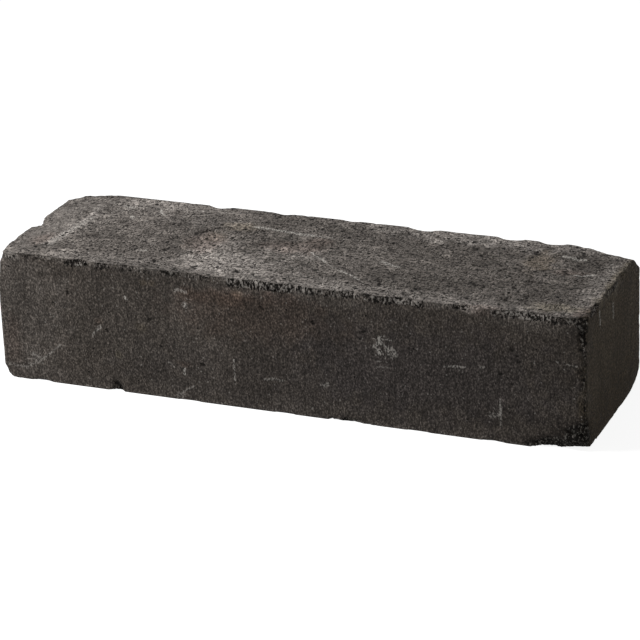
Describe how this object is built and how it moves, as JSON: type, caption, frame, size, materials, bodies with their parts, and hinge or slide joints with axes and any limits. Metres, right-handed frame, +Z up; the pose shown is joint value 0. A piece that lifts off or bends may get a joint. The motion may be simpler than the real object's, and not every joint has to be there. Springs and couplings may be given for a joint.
{
  "type": "tumbled concrete wall block",
  "caption": "Solid rectangular concrete wall block with tumbled faces, rubbed arrises, spalled flakes and knocked corners, laid on its bed face.",
  "frame": {"origin": "middle of the bed face, which lies on the floor", "axes": "+X along the length, left to right as seen from the front face; +Y from the front face to the back face; +Z up from the bed face to the top face"},
  "size_m": [0.45, 0.13, 0.1],
  "materials": {
    "concrete": "rough through-coloured charcoal concrete, matt, with paler dust on the top face"
  },
  "bodies": {
    "root": {"wall_block": "concrete"}
  },
  "joints": []
}
